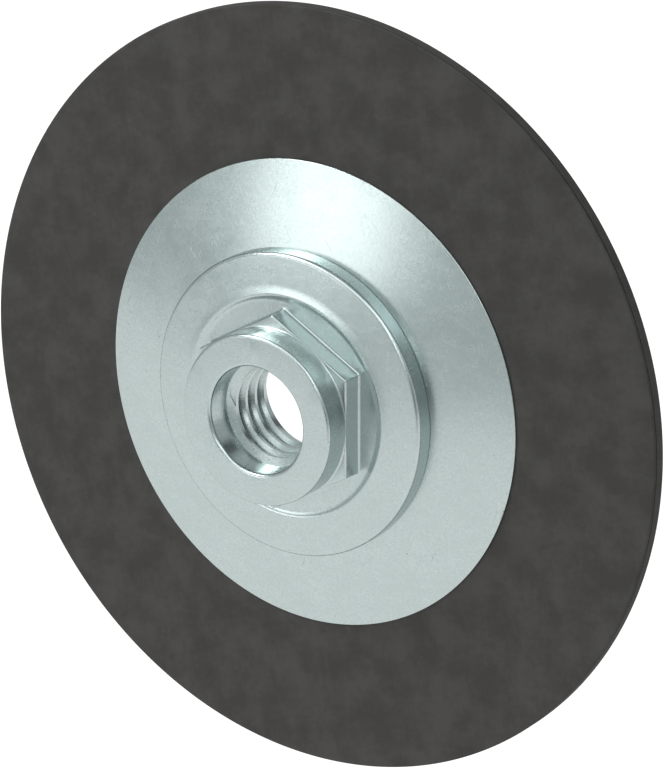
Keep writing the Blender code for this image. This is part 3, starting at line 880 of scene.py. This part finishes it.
def diamond_bond(name):
    """Bronze-grey bond with a sandy face, dark pores, and pale crystal grains whose colour is
    lightened further as painted glints.
    """
    material, shader, place = new_finish(name)
    sand = place.noise(0.32 * MM, detail=4.0, roughness=0.7)
    patch = place.noise(4.0 * MM, detail=3.0)
    pores = place.noise(0.45 * MM, detail=1.0).rise(0.66, 0.7)
    grains = place.node("TexVoronoi", {"feature": "F1"}, {"Vector": place, "Scale": 2200.0})
    # Small pale spots: partly the crystals' own pale colour, partly painted glints lightening the
    # base colour.
    crystals_and_glint = 1.0 - grains.rise(0.12, 0.24)
    bond = (sand * 0.6 + patch * 0.4).rise(0.34, 0.68)
    bond = bond.mix((0.10, 0.088, 0.070), (0.20, 0.178, 0.140))
    holed = (pores * 0.75).mix(bond, (0.030, 0.028, 0.025))
    feed(shader, place, {
        "Base Color": (crystals_and_glint * 0.5).mix(holed, (0.38, 0.36, 0.27)),
        "Roughness": 0.55 + sand * 0.25 - crystals_and_glint * 0.3,
        "Metallic": 0.35 * sand.rise(0.4, 0.7),
        "Normal": place.node("Bump", inputs={
            "Strength": 1.0, "Distance": 0.06 * MM, "Height": sand + crystals_and_glint * 0.5 - pores,
        }),
    })
    return material


def crystal_grit(name):
    """Pale yellow synthetic diamond, glassy, a little darker inside each crystal."""
    material, shader, place = new_finish(name)
    inside = place.noise(0.2 * MM, detail=2.0)
    feed(shader, place, {
        "Base Color": inside.rise(0.3, 0.7).mix((0.36, 0.33, 0.17), (0.62, 0.60, 0.42)),
        "Roughness": 0.12 + inside * 0.15,
        "IOR": 1.9,
    })
    return material


def shape_pad_face(shape, inner, outer, share, middle, top, seed):
    """Bends a unit grid to a sector with rounded corners, a gritty face and a worn edge."""
    for vert in shape.verts:
        across, along = vert.co.x, vert.co.y
        radius = (inner + outer) / 2 + along * (outer - inner) / 2
        half = share * radius / 2 - PAD_LANE / 2
        sideways = across * half
        side_room = half - abs(sideways)
        end_room = (outer - inner) / 2 - abs(radius - (inner + outer) / 2)
        if side_room < PAD_CORNER and end_room < PAD_CORNER:
            over_side, over_end = PAD_CORNER - side_room, PAD_CORNER - end_room
            reach = math.hypot(over_side, over_end)
            pull = max(over_side, over_end) / reach if reach else 1.0
            sideways = math.copysign(half - PAD_CORNER + over_side * pull, sideways)
            radius = (inner + outer) / 2 + math.copysign(
                (outer - inner) / 2 - PAD_CORNER + over_end * pull, along
            )
        angle = middle + sideways / radius
        rough = noise.fractal(Vector((sideways, radius, seed)) / GRIT_SIZE, 0.8, 2.0, 4)
        room = min(side_room, end_room)
        depth = top - GRIT_HEIGHT - PAD_EDGE * max(0.0, 1.0 - room / PAD_EDGE) ** 2
        if room > 0:
            depth += GRIT_HEIGHT * GRIT_ROUGHNESS * rough
        vert.co = (radius * math.cos(angle), min(top, depth), radius * math.sin(angle))


def close_pad(shape, base):
    """Draws the face's rim down to the base, and closes the base."""
    rim = [edge for edge in shape.edges if edge.is_boundary]
    for part in bmesh.ops.extrude_edge_only(shape, edges=rim)["geom"]:
        if isinstance(part, bmesh.types.BMVert):
            part.co.y = base
    bmesh.ops.holes_fill(shape, edges=[edge for edge in shape.edges if edge.is_boundary])
    bmesh.ops.recalc_face_normals(shape, faces=shape.faces)


def set_crystals(shape, lowest, top, chance):
    """Sinks crystals of many sizes and turns into the face, none above the top."""
    faces = [
        face for face in shape.faces
        if face.normal.y > 0.8 and face.calc_center_median().y > lowest
    ]
    for spot in chance.sample(faces, CRYSTALS):
        size = CRYSTAL_SIZE * chance.uniform(0.5, 1.0)
        made = bmesh.ops.create_icosphere(shape, subdivisions=1, radius=size)["verts"]
        swing = chance.uniform(0, math.tau)
        axis = Vector((chance.random(), chance.random(), chance.random() + 0.1))
        tilt = Matrix.Rotation(swing, 4, axis.normalized())
        seat = spot.calc_center_median() - Vector((0, CRYSTAL_SIZE * CRYSTAL_SUNK, 0))
        bmesh.ops.transform(shape, matrix=Matrix.Translation(seat) @ tilt, verts=made)
        for vert in made:
            vert.co.y = min(vert.co.y, top)
            for face in vert.link_faces:
                face.material_index = 1


carrier_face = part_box("pad_carrier")[1].y
bond_finish = diamond_bond("diamond_bond")
crystal_finish = crystal_grit("diamond_crystals")
for row, (count, inner, outer) in ROWS.items():
    for index in range(count):
        node = f"diamond_pad_{row}_{index + 1:02d}"
        low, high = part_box(node)
        middle = math.atan2((low.z + high.z) / 2, (low.x + high.x) / 2)
        shape = bmesh.new()
        bmesh.ops.create_grid(
            shape, x_segments=PAD_ACROSS_STEPS, y_segments=PAD_ACROSS_STEPS, size=1.0
        )
        shape_pad_face(shape, inner, outer, math.tau / count, middle, high.y, index * 3.0)
        close_pad(shape, carrier_face)
        lowest = carrier_face + PAD_SIDE_HEIGHT * (high.y - carrier_face)
        set_crystals(shape, lowest, high.y, random.Random(f"{row}{index}"))
        pad_name = node.replace("diamond_pad", "bonded_pad")
        pad = new_piece(pad_name, shape, bond_finish, crystal_finish)
        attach(pad, "root")
        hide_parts(node)
